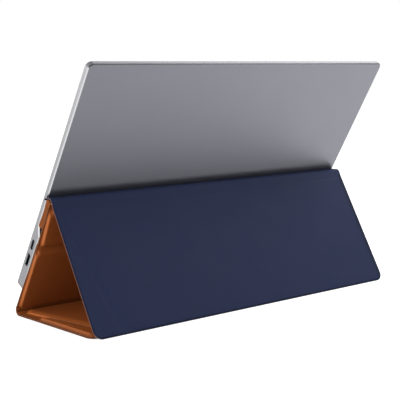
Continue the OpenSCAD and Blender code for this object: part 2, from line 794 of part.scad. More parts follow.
module rear_lining() color("sienna") on_rear() difference() {
    union() {
        translate([0, skin_t, 0]) plate(lining_t)
            free_corners(rear_outline, [0, 0, 0, free_corner_r]);
        padded(rear_main, board_t + lining_t);
    }
    top_clearance();
    layer(board_points(rear_main), skin_t, board_t);
}

module rear_magnets() color("lightslategray") on_rear() closure_bars(rear_bar_z);

// ---------------------------------------------------------------- corner flap of the rear panel

corner_outline = [[rear_crease(top_axis_z) + half_gap, top_axis_z], [side_x, top_axis_z],
    [side_x, rear_end], [rear_crease(rear_end) + half_gap, rear_end]];
corner_tip = tip_z(rear_len, rear_slant);
corner_main = [[rear_crease(corner_tip) + groove, corner_tip], [board_x, corner_tip],
    [board_x, rear_end - rim], [rear_crease(rear_end - rim) + groove, rear_end - rim]];

module corner_outer_skin() color("midnightblue") on_rear() difference() {
    plate(skin_t) free_corners(corner_outline, [0, 0, free_corner_r, 0]);
    top_clearance();
}

module corner_board() color("tan") on_rear() layer(board_points(corner_main), skin_t, board_t);

module corner_lining() color("sienna") on_rear() difference() {
    union() {
        translate([0, skin_t, 0]) plate(lining_t)
            free_corners(corner_outline, [0, 0, free_corner_r, 0]);
        padded(corner_main, board_t + lining_t);
    }
    top_clearance();
    layer(board_points(corner_main), skin_t, board_t);
}

// ---------------------------------------------------------------- assembly

rear_housing();
front_bezel();
screen_glass();
display_panel();
panel_backplate();
panel_tape();
main_board();
side_board();
main_chips();
shield_can();
heat_pad();
board_screws();
board_ribbon();
panel_ribbon();
usb_c_port_right();
usb_c_port_left();
mini_hdmi_port();
button_switches();
steel_keeper();
power_button();
menu_button();
low_pad();
high_pad();
pad_magnets();
wall_outer_skin();
wall_low_board();
wall_high_board();
wall_lining();
top_fold();
front_fold();
floor_outer_skin();
floor_board();
floor_corner_board();
floor_lining();
floor_steel_bars();
rear_outer_skin();
rear_board();
rear_lining();
rear_magnets();
corner_outer_skin();
corner_board();
corner_lining();
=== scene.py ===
# Looks of the portable monitor in its folded leather cover.
#
# The cover's panels are built here as soft meshes round the CAD frame: each one is a sheet laid out
# on a plane or on a rolled path, with a height for its outer and its inner face.  The monitor keeps
# its CAD solids.  Lengths are in millimetres until on_floor, on_wall, on_rear or Path.place turns
# them into metres.

import json
import math

import bmesh
import bpy
import numpy as np
from mathutils import Matrix, Vector


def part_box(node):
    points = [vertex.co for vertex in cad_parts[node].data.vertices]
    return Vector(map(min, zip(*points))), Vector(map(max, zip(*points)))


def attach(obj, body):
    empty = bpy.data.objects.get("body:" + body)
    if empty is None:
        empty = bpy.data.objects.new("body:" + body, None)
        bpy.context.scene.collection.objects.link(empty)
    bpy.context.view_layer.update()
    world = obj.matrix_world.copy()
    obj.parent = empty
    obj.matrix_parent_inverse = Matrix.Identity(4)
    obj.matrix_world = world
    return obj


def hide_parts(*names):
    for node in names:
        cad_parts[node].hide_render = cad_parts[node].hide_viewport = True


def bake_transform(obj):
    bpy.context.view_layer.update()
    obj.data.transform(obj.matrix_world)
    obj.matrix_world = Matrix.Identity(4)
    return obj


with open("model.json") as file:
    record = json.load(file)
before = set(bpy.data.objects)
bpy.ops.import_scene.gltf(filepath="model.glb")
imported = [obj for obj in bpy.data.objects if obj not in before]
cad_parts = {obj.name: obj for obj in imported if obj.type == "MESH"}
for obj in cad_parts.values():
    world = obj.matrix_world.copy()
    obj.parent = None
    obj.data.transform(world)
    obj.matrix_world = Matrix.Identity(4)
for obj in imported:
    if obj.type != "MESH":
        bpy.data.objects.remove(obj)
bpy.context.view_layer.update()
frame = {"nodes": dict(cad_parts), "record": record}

MM = 0.001

# ------------------------------------------------------------------ sizes of the cover

WALL_LEN, FLOOR_LEN, REAR_LEN = 112.3, 112.1, 110.9    # from fold to fold
SKIN, LINING, BOARD = 0.9, 0.7, 2.2                    # thickness
SHEET = SKIN + LINING
CUT_R = 0.2            # rounding of a cut edge of leather
TURNED_R = 0.65        # rounding where the skin is turned round the rear panel's edge
RIM = 1.0              # flat rim between a board and the edge of its panel
GROOVE = 2.0           # half the width of the creases between two boards
EDGE_R = 2.1           # width of the leather's slope over the edge of a board
FLOOR_EDGE_R = 1.4     # the same in the floor panel
BOARD_FOOT = 0.25      # how far outside a board that slope starts
CORNER_R, TIP_R = 4.0, 2.0             # corners of the boards, and of the small corner boards
FREE_R = 7.0           # free corners of the cover
CREASE_S = 66.0        # cross crease in the front wall
FLOOR_MARGIN = 0.8     # between the front fold's strips and the floor's boards
TOP_MARGIN = 11.0      # between the wall's upper board and its top
HIGH_INSET, HIGH_SLANT, HIGH_RISE = 2.4, 1.8, 27       # the sides of that board slant outwards
RECESS, RECESS_EASE = 1.1, 0.8         # the wall's sides stand back behind the monitor
REAR_MARGIN = 9.0      # between the rear panel's top and its boards
SLANT_START = 2.0      # how far from the side a slanting crease starts
FLOOR_SLANT, REAR_SLANT = 17.7, 26.0   # and how far from it the crease ends
CREASE_STOP = 1.2      # how far from the side the points along a crease end
CLOSURE_GAP = 0.3      # between the floor panel's edge and the rear panel
PROUD, WALL_PROUD = 0.25, 0.1          # how far the boards show on the outer face
HILLS = 0.05           # height of the leather's unevenness over a board
REAR_JOIN = 5.6        # where the rear panel's skin meets the strip over the top fold
LINING_START = 1.4     # how much lower the rear panel's lining starts
TURNED, TURNED_SLOPE = 1.0, 0.3        # the skin is turned under along the rear panel's foot
TOP_R, TOP_INNER_R = 2.6, 1.3          # the rolls over the top fold
FRONT_R = 4.4          # the roll over the front fold
FRONT_RUN = 0.2        # how far the front fold's strips run on past the roll
SHOULDER_R, SHOULDER_GAP = 2.0, 0.1    # the spine's front edge by the monitor
WALL_RUN = 2.5         # how far the top fold's lining lies on the wall
FOLD_STEP = 0.35       # between the points round a fold
PANEL_STEP = 3.0       # between the points of a panel
FOLD_COLUMNS = 60      # lines of points across the middle of a fold
HIGHLIGHT_POWER, HIGHLIGHT_FADE = 1.7, (3, 10) # how narrow the painted highlights on the boards' edges are, and where they start
CREASE_SHADE_AT, CREASE_SHADE_SPAN = 0.55, (0.5, 1.8)   # painted shade along the front fold's crease: share of the path, width

# Pads between the wall and the monitor, by depth in front of the wall and height along it
HIGH_PAD_O, HIGH_PAD_S = -6.1, 81.8
LOW_PAD_T, LOW_PAD_FOOT, LOW_PAD_TOP, LOW_PAD_HALF = 1.6, 26, 68, 155.6
SLOPE_FOOT, SLOPE_HEAD = 74.5, 83.0    # the step in the monitor's back
SLOPE_CLEAR = 0.3      # between that step and the upper pad
PAD_START, LOW_PAD_START = 0.5, 0.15   # how much smaller a pad is before it is blown up
PUFF_FRAMES = 20

HALF_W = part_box("wall_outer_skin")[1].x / MM

front_angle = math.acos((WALL_LEN**2 + FLOOR_LEN**2 - REAR_LEN**2) / (2 * WALL_LEN * FLOOR_LEN))
top_angle = math.acos((WALL_LEN**2 + REAR_LEN**2 - FLOOR_LEN**2) / (2 * WALL_LEN * REAR_LEN))
lean = math.pi / 2 - front_angle
rear_lean = top_angle - lean
front_y = -FLOOR_LEN / 2
apex_y = front_y + WALL_LEN * math.sin(lean)
apex_z = WALL_LEN * math.cos(lean)

rear_end = REAR_LEN - SHEET * math.tan(rear_lean)
floor_end = (FLOOR_LEN - (SHEET + BOARD + CLOSURE_GAP) / math.cos(rear_lean)
             - SHEET * math.tan(rear_lean))
joints = {j["name"]: j for j in frame["record"]["behaviour"]["joints"]}
top_axis = Vector(joints["top_fold_hinge"]["pos_m"]) / MM
front_tangent = FRONT_R / math.tan(front_angle / 2)
FRONT_JOIN = front_tangent + FRONT_RUN     # where the front fold's strips meet the panels
wall_top = (top_axis.y - front_y) * math.sin(lean) + top_axis.z * math.cos(lean) - TOP_R / 2


def on_floor(x, y, z):
    return np.stack(np.broadcast_arrays(x, front_y + z, y), -1) * MM


def on_wall(x, y, z):
    return np.stack(np.broadcast_arrays(
        x, front_y + y * math.cos(lean) + z * math.sin(lean),
        z * math.cos(lean) - y * math.sin(lean)), -1) * MM


def on_rear(x, y, z):
    return np.stack(np.broadcast_arrays(
        x, apex_y - y * math.cos(rear_lean) + z * math.sin(rear_lean),
        apex_z - y * math.sin(rear_lean) - z * math.cos(rear_lean)), -1) * MM


class Path:
    """A line in Y and Z made of straight runs and arcs.

    Points are placed at a depth y to its left where inward is 1 and to its right where it is -1.
    """

    def __init__(self, start, heading, inward):
        self.pieces, self.length, self.inward = [], 0.0, inward
        self.at, self.heading = np.array(start, float), heading

    def run(self, length):
        self.pieces.append((self.length, self.at.copy(), self.heading, 0.0))
        self.at = self.at + length * np.array([math.cos(self.heading), math.sin(self.heading)])
        self.length += length
        return self

    def arc(self, radius, turn):
        """An arc of that radius through the angle turn, which is positive anticlockwise."""
        bend = math.copysign(1 / radius, turn)
        self.pieces.append((self.length, self.at.copy(), self.heading, bend))
        h, side = self.heading, math.copysign(radius, turn)
        centre = self.at + side * np.array([-math.sin(h), math.cos(h)])
        self.heading = h + turn
        self.at = centre - side * np.array([-math.sin(self.heading), math.cos(self.heading)])
        self.length += radius * abs(turn)
        return self

    def place(self, x, y, u):
        x, y, u = np.broadcast_arrays(x, y, u)
        out = np.zeros(u.shape + (3,))
        for k, (start, at, heading, bend) in enumerate(self.pieces):
            after = self.pieces[k + 1][0] if k + 1 < len(self.pieces) else math.inf
            inside = (u >= start if k else np.full(u.shape, True)) & (u < after)
            s = u - start
            angle = heading + bend * s
            if bend:
                along = (np.sin(angle) - math.sin(heading)) / bend
                up = (math.cos(heading) - np.cos(angle)) / bend
            else:
                along, up = s * math.cos(heading), s * math.sin(heading)
            nx, nz = -np.sin(angle) * self.inward, np.cos(angle) * self.inward
            point = np.stack([x, at[0] + along + y * nx, at[1] + up + y * nz], -1)
            out[inside] = point[inside]
        return out * MM


# ------------------------------------------------------------------ heights over the boards


def crease_x(z, length, drop):
    """Where a slanting crease lies at z, in a panel of that length."""
    return HALF_W - SLANT_START - (drop - SLANT_START) * z / length


def floor_crease(z):
    return crease_x(z, FLOOR_LEN, FLOOR_SLANT)


def rear_crease(z):
    return crease_x(z, REAR_LEN, REAR_SLANT)


def rounded_min(distances, radius):
    """Depth inside the outline whose sides lie at these distances, with rounded corners."""
    near = np.sort(np.stack(distances), axis=0)[:2]
    a, b = np.minimum(near, radius)
    in_corner = radius - np.hypot(radius - a, radius - b)
    return np.where(near[1] < radius, in_corner, near[0])


def swell(depth, edge=EDGE_R):
    """0 outside a board and 1 over it, with a soft foot and a rounded shoulder."""
    t = np.clip((depth + BOARD_FOOT) / edge, 0, 1)
    return np.sin(t * t * (3 - 2 * t) * math.pi / 2) ** 0.8


def unevenness(x, z, seed):
    """Slow hills of about 1 in height, as leather has over a board."""
    return (np.sin(x * 0.051 + seed) * np.sin(z * 0.083 + 1.7 * seed)
            + 0.6 * np.sin(x * 0.113 + z * 0.047 + 2.3 * seed)
            + 0.4 * np.sin(x * 0.031 - z * 0.151 + 0.6 * seed))


# ------------------------------------------------------------------ sheets


def flat_lines(rounding):
    """Distances from an edge at which a sheet gets a line of points, past the edge's rounding."""
    return [rounding + d for d in (0.3, 0.6, 0.9, 1.2, 1.5, 1.8, 2.1, 2.5, 3.0, 3.8, 5.0, 7.0)]


def near_lines(rounding):
    """The same with five lines on the rounding."""
    return ([rounding * (1 - math.cos(a * math.pi / 8)) for a in range(5)]
            + flat_lines(rounding))


def lines_between(a, b, near_a, near_b, count):
    """Lines from a to b, close together at the ends that have a list of distances."""
    reach = max(near_a[-1:] + near_b[-1:])
    scale = np.minimum(1, 0.45 * (b - a) / reach)
    first = [a + d * scale for d in near_a] if near_a else [a + 0 * b]
    last = [b - d * scale for d in reversed(near_b)] if near_b else [b + 0 * a]
    middle = [first[-1] + (last[0] - first[-1]) * (i + 1) / (count + 1) for i in range(count)]
    return first + middle + last


def soft_step(value, low, high):
    t = np.clip((value - low) / (high - low), 0, 1)
    return t * t * (3 - 2 * t)


def add_mesh(name, points, faces, groups=None):
    """A smooth closed mesh in the scene, whose faces have the material numbers in groups."""
    mesh = bpy.data.meshes.new(name)
    mesh.from_pydata(points.tolist(), [], faces)
    if groups is not None:
        mesh.polygons.foreach_set("material_index", groups)
    mesh.polygons.foreach_set("use_smooth", [True] * len(faces))
    obj = bpy.data.objects.new(name, mesh)
    bpy.context.scene.collection.objects.link(obj)
    fix_normals(obj)
    return obj


def sheet_mesh(name, place, z, x, outer, inner, band=0.0, marks=None):
    """A closed sheet over the grid of points x, z, from depth outer to depth inner.

    Its side faces, and the faces nearer to a side than band, get the second material.  marks are
    named values from 0 to 1 at the points, which the leather's material reads.
    """
    rows, cols = x.shape
    points = np.concatenate([place(x, outer, z).reshape(-1, 3), place(x, inner, z).reshape(-1, 3)])
    faces, groups = [], []

    def at(layer, r, c):
        return layer * rows * cols + r * cols + c

    for r in range(rows - 1):
        for c in range(cols - 1):
            faces.append((at(0, r, c), at(0, r, c + 1), at(0, r + 1, c + 1), at(0, r + 1, c)))
            faces.append((at(1, r, c), at(1, r + 1, c), at(1, r + 1, c + 1), at(1, r, c + 1)))
            near_side = x[r].max() - abs(x[r, c:c + 2].mean()) < band
            groups += [int(near_side), int(near_side)]
    for r in range(rows - 1):
        faces.append((at(0, r, 0), at(0, r + 1, 0), at(1, r + 1, 0), at(1, r, 0)))
        faces.append((at(0, r + 1, cols - 1), at(0, r, cols - 1), at(1, r, cols - 1),
                      at(1, r + 1, cols - 1)))
        groups += [1, 1]
    for c in range(cols - 1):
        faces.append((at(0, 0, c + 1), at(0, 0, c), at(1, 0, c), at(1, 0, c + 1)))
        faces.append((at(0, rows - 1, c), at(0, rows - 1, c + 1), at(1, rows - 1, c + 1),
                      at(1, rows - 1, c)))
        groups += [0, 0]
    obj = add_mesh(name, points, faces, groups)
    obj.data.set_sharp_from_angle(angle=math.radians(50))
    for key, values in (marks or {}).items():
        mark = obj.data.attributes.new(key, "FLOAT", "POINT")
        mark.data.foreach_set("value", np.tile(values.ravel(), 2).astype(np.float32))
    return obj


def fix_normals(obj):
    """Turns the faces outwards."""
    bm = bmesh.new()
    bm.from_mesh(obj.data)
    bmesh.ops.recalc_face_normals(bm, faces=bm.faces)
    bm.to_mesh(obj.data)
    bm.free()


def edge_dip(distance, rounding):
    """How far a face falls back where it rounds over towards a cut edge."""
    t = np.clip(1 - distance / rounding, 0, 1)
    return rounding * (1 - np.sqrt(1 - t * t))


def panel(name, place, z_range, free_end, crease, faces, edge_r=CUT_R, band=0.0,
          corner_r=FREE_R, recess=None, swollen=None, painted_shade=(0.3, 1.3), shade_by_side=(1, 1)):
    """A sheet between two lines, which ends in rounded corners if free_end is set.

    crease gives x for z where a slanting crease crosses the panel, and faces gives the depths of
    the outer and the inner face for x, z.  recess gives how far the sides stand back at z.  One
    range gives the distances from the edge between which painted shade along the edge fades into
    the leather's own colour, and the last pair divides them at the -X and at the +X side, which
    can make the painted shade wider on one side.  Where swollen is given, the ridges that it makes
    are marked for a painted highlight too.
    """
    z0, z1 = z_range
    near, flat = near_lines(edge_r), flat_lines(edge_r)
    count, across = int((z1 - z0) / PANEL_STEP), int(2 * HALF_W / PANEL_STEP)
    if free_end:
        turn = [z1 - corner_r + corner_r * math.sin(a * math.pi / 24) for a in range(1, 13)]
        ends = sorted(set(round(v, 4) for v in turn + [z1 - d for d in near]))
        body = lines_between(z0, ends[0], flat, [], count)
        z = np.unique([z0] + body[:-1] + ends)
        past = np.clip(z - (z1 - corner_r), 0, corner_r)
        half = HALF_W - corner_r + np.sqrt(np.maximum(corner_r**2 - past**2, 0))
    else:
        z = np.unique(lines_between(z0, z1, [0.0] + flat, [0.0] + flat, count))
        half = np.full(z.shape, HALF_W)
    if recess is not None:
        half = half - recess(z)
    if crease is None:
        lines = lines_between(-half, half, near, near, across)
    else:
        # The crease stops short of the side, and lines of points follow both its sides
        middle = np.minimum(crease(z), half - CREASE_STOP)
        groove = [0.0] + flat[:7]
        lines = (lines_between(-half, middle, near, groove, across)
                 + lines_between(middle, half, groove, near, 5)[1:])
    x = np.stack(lines, axis=1)
    z = np.repeat(z[:, None], x.shape[1], axis=1)
    side = HALF_W - np.abs(x) - (0 if recess is None else recess(z))
    faded = side * np.where(x < 0, *shade_by_side)
    if free_end:
        faded = np.minimum(faded, z1 - z)
        corner = (side < corner_r) & (z1 - z < corner_r)
        hyp = corner_r - np.hypot(corner_r - side, corner_r - (z1 - z))
        distance = np.where(corner, hyp, np.minimum(side, z1 - z))
    else:
        distance = side
    outer, inner = faces(x, z)
    distance = np.maximum(distance, 0)
    dip, inner_dip = edge_dip(distance, edge_r), edge_dip(distance, min(edge_r, CUT_R))
    # Painted shade: the leather is marked darker along its edges, more on one side if the factors
    # differ
    marks = {"painted_shade": 1 - soft_step(np.minimum(faded, distance * max(shade_by_side)), *painted_shade)}
    if swollen is not None:
        s = swollen(x, z)
        slope = np.clip(4 * s * (1 - s), 0, 1)     # 1 halfway up a board's edge
        # Painted highlight: marked halfway up each board's edge, where the edge catches the light
        marks["ridge_highlight"] = slope**HIGHLIGHT_POWER * soft_step(z - z0, *HIGHLIGHT_FADE)
    return sheet_mesh(name, place, z, x, outer + dip, inner - inner_dip, band, marks)


# ------------------------------------------------------------------ boards in the panels


def wall_swell(x, z):
    side = HALF_W - RIM - np.abs(x)
    low = rounded_min([side, z - FRONT_JOIN, CREASE_S - GROOVE - z], CORNER_R)
    inset = HIGH_INSET - HIGH_SLANT * np.clip((z - CREASE_S - GROOVE) / HIGH_RISE, 0, 1)
    high = rounded_min([side - inset, z - CREASE_S - GROOVE, WALL_LEN - TOP_MARGIN - z], CORNER_R)
    return np.maximum(swell(low), swell(high))


def slanted_swell(x, z, start, end, length, drop, edge=EDGE_R):
    tilt = math.hypot(1, (drop - SLANT_START) / length)
    off = (crease_x(z, length, drop) - x) / tilt        # distance from the crease
    main = rounded_min([x + HALF_W - RIM, off - GROOVE, z - start, end - RIM - z], CORNER_R)
    tip = length * (2 * EDGE_R + RIM + GROOVE - SLANT_START) / (drop - SLANT_START)
    corner = rounded_min([HALF_W - RIM - x, -off - GROOVE, z - tip, end - RIM - z], TIP_R)
    return np.maximum(swell(main, edge), swell(corner, edge))


def floor_swell(x, z):
    start = FRONT_JOIN + FLOOR_MARGIN
    return slanted_swell(x, z, start, floor_end, FLOOR_LEN, FLOOR_SLANT, FLOOR_EDGE_R)


def rear_swell(x, z):
    return slanted_swell(x, z, REAR_MARGIN, rear_end, REAR_LEN, REAR_SLANT)


def skin_faces(swollen, seed, proud=PROUD):
    def faces(x, z):
        s = swollen(x, z)
        outer = -proud * s - HILLS * s * unevenness(x, z, seed)
        return outer, np.full(x.shape, SKIN)
    return faces


def lining_faces(swollen, seed):
    def faces(x, z):
        s = swollen(x, z)
        inner = SHEET + BOARD * s + HILLS * s * unevenness(x, z, seed)
        return np.full(x.shape, SKIN), inner
    return faces


def flat_faces(y0, y1):
    def faces(x, z):
        return np.full(x.shape, y0), np.full(x.shape, y1)
    return faces


# ------------------------------------------------------------------ materials


def make_material(name, base, roughness, metallic=0.0, **sockets):
    m = bpy.data.materials.new(name)
    m.use_nodes = True
    shader = m.node_tree.nodes["Principled BSDF"]
    shader.inputs["Base Color"].default_value = (*base, 1)
    shader.inputs["Roughness"].default_value = roughness
    shader.inputs["Metallic"].default_value = metallic
    for key, value in sockets.items():
        shader.inputs[key.replace("_", " ")].default_value = value
    return m


def object_coordinates(m):
    return m.node_tree.nodes.new("ShaderNodeTexCoord").outputs["Object"]


def noise_field(m, scale, detail=3.0, rough=0.55):
    node = m.node_tree.nodes.new("ShaderNodeTexNoise")
    node.inputs["Scale"].default_value = scale
    node.inputs["Detail"].default_value = detail
    node.inputs["Roughness"].default_value = rough
    m.node_tree.links.new(object_coordinates(m), node.inputs["Vector"])
    return node.outputs["Fac"]


def cell_borders(m, scale, randomness=1.0):
    """Distance to the nearest border between irregular cells."""
    node = m.node_tree.nodes.new("ShaderNodeTexVoronoi")
    node.feature = "DISTANCE_TO_EDGE"
    node.inputs["Scale"].default_value = scale
    node.inputs["Randomness"].default_value = randomness
    m.node_tree.links.new(object_coordinates(m), node.inputs["Vector"])
    return node.outputs["Distance"]


def remap(m, value, low, high, to_low, to_high):
    node = m.node_tree.nodes.new("ShaderNodeMapRange")
    node.interpolation_type = "SMOOTHSTEP"
    for key, number in (("From Min", low), ("From Max", high), ("To Min", to_low),
                        ("To Max", to_high)):
        node.inputs[key].default_value = number
    m.node_tree.links.new(value, node.inputs["Value"])
    return node.outputs["Result"]


def blend_colours(m, factor, a, b):
    """Colour a where factor is 0 and b where it is 1; either may be another node's output."""
    node = m.node_tree.nodes.new("ShaderNodeMix")
    node.data_type = "RGBA"
    m.node_tree.links.new(factor, node.inputs["Factor"])
    for socket, colour in zip((node.inputs[6], node.inputs[7]), (a, b)):
        if isinstance(colour, bpy.types.NodeSocket):
            m.node_tree.links.new(colour, socket)
        else:
            socket.default_value = (*colour, 1)
    return node.outputs[2]


def maths(m, operation, a, b=None):
    node = m.node_tree.nodes.new("ShaderNodeMath")
    node.operation = operation
    for socket, value in zip(node.inputs, (a, b)):
        if value is None:
            continue
        if isinstance(value, bpy.types.NodeSocket):
            m.node_tree.links.new(value, socket)
        else:
            socket.default_value = value
    return node.outputs[0]


def bump(m, height, strength, distance, below=None):
    node = m.node_tree.nodes.new("ShaderNodeBump")
    node.inputs["Strength"].default_value = strength
    node.inputs["Distance"].default_value = distance
    m.node_tree.links.new(height, node.inputs["Height"])
    if below is not None:
        m.node_tree.links.new(below, node.inputs["Normal"])
    return node.outputs["Normal"]


def connect(m, **outputs):
    shader = m.node_tree.nodes["Principled BSDF"]
    for key, value in outputs.items():
        m.node_tree.links.new(value, shader.inputs[key.replace("_", " ")])
    return m


def tint(colour, share):
    return tuple(c * share for c in colour)


def point_mark(m, name):
    node = m.node_tree.nodes.new("ShaderNodeAttribute")
    node.attribute_name = name
    return node.outputs["Fac"]


PAINTED_SHADE_SHARE, PAINTED_SHADE_TONE = 0.85, 0.35     # how much of the dark tone the painted shade along the edges takes
HIGHLIGHT_TONE, HIGHLIGHT_LIFT = 1.25, 0.04    # painted highlight: the boards' edges are paler by a factor and a share of grey


def leather(name, base, roughness, grain, specular, highlight_strength):
    """Fine pebbled leather: grain is the size of its pebbles in metres.

    It has painted shade where the mesh marks it, along its edges and in the front fold's crease,
    and a painted highlight, paler, along the ridges that the boards make in it.
    """
    m = make_material(name, base, roughness, Specular_IOR_Level=specular)
    pebbles = cell_borders(m, 1 / grain)
    pits = remap(m, pebbles, 0.0, 0.18, 0.0, 1.0)
    patches = noise_field(m, 45, 5)
    fine = noise_field(m, 2.7 / grain, 2)
    shade = blend_colours(m, patches, tint(base, 0.95), tint(base, 1.05))
    colour = blend_colours(m, pits, tint(base, 0.8), shade)
    # Painted shade along the edges and in the front fold's crease
    painted_shade = maths(m, "MULTIPLY", point_mark(m, "painted_shade"), PAINTED_SHADE_SHARE)
    colour = blend_colours(m, painted_shade, colour, tint(base, PAINTED_SHADE_TONE))
    # Painted highlight along the boards' edges
    ridge_highlight = maths(m, "MULTIPLY", point_mark(m, "ridge_highlight"), highlight_strength)
    highlight_colour = tuple(HIGHLIGHT_TONE * c + HIGHLIGHT_LIFT * max(base) for c in base)
    colour = blend_colours(m, ridge_highlight, colour, highlight_colour)
    rough = remap(m, patches, 0.3, 0.7, roughness - 0.03, roughness + 0.03)
    relief = bump(m, pits, 0.3, grain * 0.06)
    relief = bump(m, fine, 0.15, grain * 0.05, relief)
    relief = bump(m, noise_field(m, 150, 2), 0.2, 0.0001, relief)
    return connect(m, Base_Color=colour, Roughness=rough, Normal=relief)


def cut_edge(name, base):
    """Raw cut edge of leather: fibrous, matt and a little uneven."""
    m = make_material(name, base, 0.75, Specular_IOR_Level=0.1)
    fibres = noise_field(m, 1400, 4, 0.7)
    colour = blend_colours(m, fibres, tint(base, 0.75), tint(base, 1.25))
    return connect(m, Base_Color=colour, Normal=bump(m, fibres, 0.4, 0.0001))


def satin(name, base, roughness, metallic=1.0, grain=4500, spread=0.05, **sockets):
    """Even finish with a fine blasted grain, for metal or moulded plastic."""
    m = make_material(name, base, roughness, metallic, **sockets)
    fine = noise_field(m, grain, 2)
    cloudy = noise_field(m, 35, 3)
    colour = blend_colours(m, cloudy, tint(base, 0.96), tint(base, 1.04))
    rough = remap(m, fine, 0.25, 0.75, roughness - spread, roughness + spread)
    return connect(m, Base_Color=colour, Roughness=rough, Normal=bump(m, fine, 0.05, 0.00002))


def housing_metal():
    """Blasted and anodised faces and bare cut chamfers, with painted light: paler sides, a darker
    top face, and chamfers that are bright at the sides and painted dark where they face up or down.
    """
    # Painted light: the sides get a paler tone than the back
    faces, sides = (0.188, 0.188, 0.212), (0.2, 0.2, 0.208)
    # The cut chamfers are bright where they face sideways and get painted shade where they face up
    # or down
    bright, dark = (0.53, 0.53, 0.54), (0.08, 0.08, 0.085)
    m = make_material("satin_aluminium", faces, 0.43, 0.95)
    normal = m.node_tree.nodes.new("ShaderNodeTexCoord").outputs["Normal"]
    dot = m.node_tree.nodes.new("ShaderNodeVectorMath")
    dot.operation = "DOT_PRODUCT"
    m.node_tree.links.new(normal, dot.inputs[0])
    dot.inputs[1].default_value = (0, math.cos(lean), -math.sin(lean))
    facing = maths(m, "ABSOLUTE", dot.outputs["Value"])
    off = maths(m, "ABSOLUTE", maths(m, "SUBTRACT", facing, 0.67))
    parts = m.node_tree.nodes.new("ShaderNodeSeparateXYZ")
    m.node_tree.links.new(normal, parts.inputs[0])
    across = maths(m, "ABSOLUTE", parts.outputs["X"])
    chamfer_lit = remap(m, across, 0.6, 0.72, 0.0, 1.0)
    chamfer = remap(m, off, 0.06, 0.1, 1.0, 0.0)
    fine = noise_field(m, 5200, 2)
    cloudy = noise_field(m, 30, 3)
    body = blend_colours(m, cloudy, tint(faces, 0.97), tint(faces, 1.03))
    # Painted light: paler sides
    body = blend_colours(m, remap(m, across, 0.85, 0.95, 0.0, 1.0), body, sides)
    # Painted shade: the top face looks up at the lamps and is given a deeper tone than the back
    top_face_shade = remap(m, parts.outputs["Z"], 0.7, 0.8, 0.0, 1.0)
    body = blend_colours(m, top_face_shade, body, tint(faces, 0.72))
    # Chamfers: bright at the sides, painted shade elsewhere
    colour = blend_colours(m, chamfer, body, blend_colours(m, chamfer_lit, dark, bright))
    grain = remap(m, fine, 0.25, 0.75, 0.4, 0.46)
    rough = maths(m, "SUBTRACT", grain, maths(m, "MULTIPLY", chamfer, 0.16))
    return connect(m, Base_Color=colour, Roughness=rough, Normal=bump(m, fine, 0.06, 0.00002))


def circuit_board():
    """Green solder mask over copper tracks."""
    m = make_material("circuit_board", (0.02, 0.16, 0.07), 0.4)
    tracks = cell_borders(m, 420, 0.35)
    lines = remap(m, tracks, 0.02, 0.06, 1.0, 0.0)
    colour = blend_colours(m, lines, (0.012, 0.11, 0.045), (0.05, 0.27, 0.12))
    return connect(m, Base_Color=colour, Normal=bump(m, lines, 0.3, 0.00003))


NAVY = (0.0155, 0.0215, 0.054)
BROWN = (0.3, 0.083, 0.02)


def make_materials():
    return {
        "navy_leather": leather("navy_leather", NAVY, 0.6, 0.0007, 0.05, 0.12),
        "brown_leather": leather("brown_leather", BROWN, 0.55, 0.0008, 0.06, 0.95),
        "pad_leather": leather("pad_leather", tint(BROWN, 0.62), 0.55, 0.0008, 0.06, 0.0),
        "navy_edge": cut_edge("navy_edge", (0.12, 0.08, 0.08)),
        "brown_edge": cut_edge("brown_edge", (0.12, 0.042, 0.013)),
        "dark_edge": cut_edge("dark_edge", (0.11, 0.046, 0.022)),
        "satin_aluminium": housing_metal(),
        "black_bezel": satin("black_bezel", (0.02, 0.02, 0.022), 0.55, 0.0, 2500),
        "cover_glass": satin("cover_glass", (0.012, 0.012, 0.014), 0.12, 0.0, 900, 0.02,
                             Specular_IOR_Level=0.35),
        "display": satin("display", (0.015, 0.015, 0.02), 0.2, 0.0, 900, 0.03),
        "panel_sheet": satin("panel_sheet", (0.55, 0.55, 0.56), 0.35),
        "foam_tape": satin("foam_tape", (0.06, 0.06, 0.06), 0.9, 0.0, 1500),
        "circuit_board": circuit_board(),
        "chip_plastic": satin("chip_plastic", (0.03, 0.03, 0.03), 0.5, 0.0),
        "shield_steel": satin("shield_steel", (0.6, 0.6, 0.6), 0.3),
        "silicone_pad": satin("silicone_pad", (0.35, 0.5, 0.62), 0.7, 0.0, 1500),
        "screw_steel": satin("screw_steel", (0.6, 0.6, 0.6), 0.25),
        "ribbon_white": satin("ribbon_white", (0.85, 0.85, 0.82), 0.5, 0.0),
        "ribbon_amber": satin("ribbon_amber", (0.62, 0.32, 0.05), 0.35, 0.0),
        "port_steel": satin("port_steel", (0.12, 0.135, 0.15), 0.32),
        "switch_plastic": satin("switch_plastic", (0.05, 0.05, 0.05), 0.5, 0.0),
        "keeper_steel": satin("keeper_steel", (0.5, 0.5, 0.5), 0.35),
        "button_aluminium": satin("button_aluminium", (0.4, 0.4, 0.415), 0.3),
        "magnet": satin("magnet", (0.6, 0.6, 0.62), 0.2),
        "grey_board": satin("grey_board", (0.35, 0.3, 0.24), 0.9, 0.0, 1200),
    }


materials = make_materials()


def finish_nodes():
    """Gives each CAD node the material of its slot in the record."""
    slots = {p["node"]: p["material_slot"] for p in frame["record"]["subparts"]}
    for name, node in frame["nodes"].items():
        node.data.materials.clear()
        node.data.materials.append(materials[slots[name]])


finish_nodes()


def dress(obj, slot, edge, *nodes):
    """Leather on the faces, edge on the cut sides, in place of the named nodes."""
    obj.data.materials.append(materials[slot])
    obj.data.materials.append(materials[edge])
    if nodes:
        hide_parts(*nodes)
    return obj


# ------------------------------------------------------------------ the cover's panels


